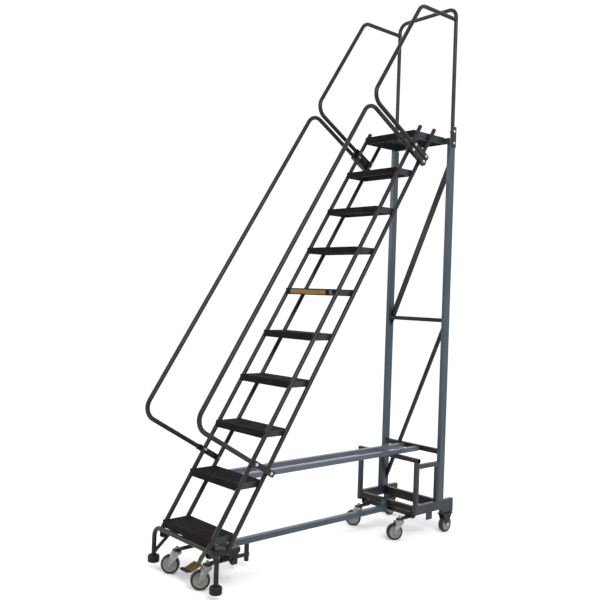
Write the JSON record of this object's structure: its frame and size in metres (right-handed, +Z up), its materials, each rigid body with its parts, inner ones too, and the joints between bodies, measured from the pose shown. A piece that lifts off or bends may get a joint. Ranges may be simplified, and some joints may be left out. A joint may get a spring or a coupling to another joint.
{
  "type": "rolling safety ladder",
  "caption": "Rolling steel step ladder with platform, handrails, guard rail, braced rear tower and swivel casters raised by a foot pedal.",
  "frame": {"origin": "on the floor, in the middle of the footprint", "axes": "+Z up, +Y the way a climber faces, +X to the climber's right"},
  "size_m": [0.6229, 2.0916, 3.4247],
  "materials": {
    "tube_paint": "gloss charcoal powder coat",
    "box_paint": "gloss blue-grey powder coat",
    "dark_paint": "gloss near-black powder coat",
    "tread_paint": "gloss blue-grey powder coat",
    "mat": "matte ribbed brown-black",
    "foot_rubber": "matte black",
    "bolt_zinc": "bright zinc plate",
    "caster_zinc": "zinc plate",
    "wheel": "satin black tyre",
    "pedal_yellow": "safety yellow"
  },
  "bodies": {
    "ladder": {"base_cross_rails": "dark_paint", "base_spine": "box_paint", "base_struts": "box_paint", "bolts": "bolt_zinc", "cage_top_bar": "dark_paint", "centre_legs": "dark_paint", "foot_struts": "tube_paint", "front_cross_member": "dark_paint", "front_foot_tube": "tube_paint", "front_side_members": "dark_paint", "guard_rail": "tube_paint", "guard_rail_plates": "tube_paint", "left_cage_frame": "box_paint", "left_fixed_fork": "dark_paint", "left_front_stringer": "tube_paint", "left_lower_handrail": "tube_paint", "left_post": "box_paint", "left_rear_stringer": "tube_paint", "left_side_rail": "box_paint", "left_upper_handrail": "tube_paint", "lower_clamps": "tube_paint", "lower_crossbar": "dark_paint", "lower_diagonal": "dark_paint", "middle_crossbar": "dark_paint", "platform": "tread_paint", "right_cage_frame": "box_paint", "right_fixed_fork": "dark_paint", "right_front_stringer": "tube_paint", "right_lower_handrail": "tube_paint", "right_post": "box_paint", "right_rear_stringer": "tube_paint", "right_side_rail": "box_paint", "right_upper_handrail": "tube_paint", "rubber_feet": "foot_rubber", "tread_1": "tread_paint", "tread_2": "tread_paint", "tread_3": "tread_paint", "tread_4": "tread_paint", "tread_5": "tread_paint", "tread_6": "tread_paint", "tread_7": "tread_paint", "tread_8": "tread_paint", "tread_9": "tread_paint", "tread_mats": "mat", "upper_clamps": "tube_paint", "upper_diagonal": "dark_paint"},
    "front_lift": {"front_lift_shaft": "dark_paint", "foot_pedal": "pedal_yellow"},
    "rear_lift": {"rear_lift_shaft": "dark_paint"},
    "link": {"lift_link": "bolt_zinc"},
    "front_left_fork": {"front_left_fork": "caster_zinc"},
    "front_left_wheel": {"front_left_wheel": "wheel"},
    "front_right_fork": {"front_right_fork": "caster_zinc"},
    "front_right_wheel": {"front_right_wheel": "wheel"},
    "rear_left_fork": {"rear_left_fork": "caster_zinc"},
    "rear_left_wheel": {"rear_left_wheel": "wheel"},
    "rear_right_fork": {"rear_right_fork": "caster_zinc"},
    "rear_right_wheel": {"rear_right_wheel": "wheel"},
    "left_fixed_wheel": {"left_fixed_wheel": "wheel"},
    "right_fixed_wheel": {"right_fixed_wheel": "wheel"}
  },
  "joints": [
    {"name": "front_lift", "type": "hinge", "parent": "ladder", "child": "front_lift", "pos_m": [0, -0.768, 0.146], "axis": [-1, 0, 0], "range_deg": [0, 19]},
    {"name": "rear_lift", "type": "hinge", "parent": "ladder", "child": "rear_lift", "pos_m": [0, 0.6845, 0.146], "axis": [-1, 0, 0], "range_deg": [0, 19]},
    {"name": "link_slide", "type": "slide", "parent": "ladder", "child": "link", "axis": [0, -1, 0], "range_m": [0, 0.0093]},
    {"name": "front_left_swivel", "type": "hinge", "parent": "front_lift", "child": "front_left_fork", "pos_m": [-0.136, -0.878, 0.124], "axis": [0, 0, 1], "continuous": true},
    {"name": "front_left_roll", "type": "hinge", "parent": "front_left_fork", "child": "front_left_wheel", "pos_m": [-0.16046, -0.90162, 0.0508], "axis": [0.6947, -0.7193, 0], "continuous": true},
    {"name": "front_right_swivel", "type": "hinge", "parent": "front_lift", "child": "front_right_fork", "pos_m": [0.136, -0.878, 0.124], "axis": [0, 0, 1], "continuous": true},
    {"name": "front_right_roll", "type": "hinge", "parent": "front_right_fork", "child": "front_right_wheel", "pos_m": [0.11748, -0.90651, 0.0508], "axis": [0.8387, -0.5446, 0], "continuous": true},
    {"name": "rear_left_swivel", "type": "hinge", "parent": "rear_lift", "child": "rear_left_fork", "pos_m": [-0.173, 0.594, 0.124], "axis": [0, 0, 1], "continuous": true},
    {"name": "rear_left_roll", "type": "hinge", "parent": "rear_left_fork", "child": "rear_left_wheel", "pos_m": [-0.19979, 0.57307, 0.0508], "axis": [0.6157, -0.788, 0], "continuous": true},
    {"name": "rear_right_swivel", "type": "hinge", "parent": "rear_lift", "child": "rear_right_fork", "pos_m": [0.173, 0.594, 0.124], "axis": [0, 0, 1], "continuous": true},
    {"name": "rear_right_roll", "type": "hinge", "parent": "rear_right_fork", "child": "rear_right_wheel", "pos_m": [0.15704, 0.56398, 0.0508], "axis": [0.8829, -0.4695, 0], "continuous": true},
    {"name": "left_fixed_roll", "type": "hinge", "parent": "ladder", "child": "left_fixed_wheel", "pos_m": [-0.2324, 0.981, 0.0508], "axis": [1, 0, 0], "continuous": true},
    {"name": "right_fixed_roll", "type": "hinge", "parent": "ladder", "child": "right_fixed_wheel", "pos_m": [0.2324, 0.981, 0.0508], "axis": [1, 0, 0], "continuous": true}
  ],
  "couplings": [
    {"joint": "rear_lift", "follows": "front_lift", "ratio": 1},
    {"joint": "link_slide", "follows": "front_lift", "m_per_rad": 0.0276}
  ]
}
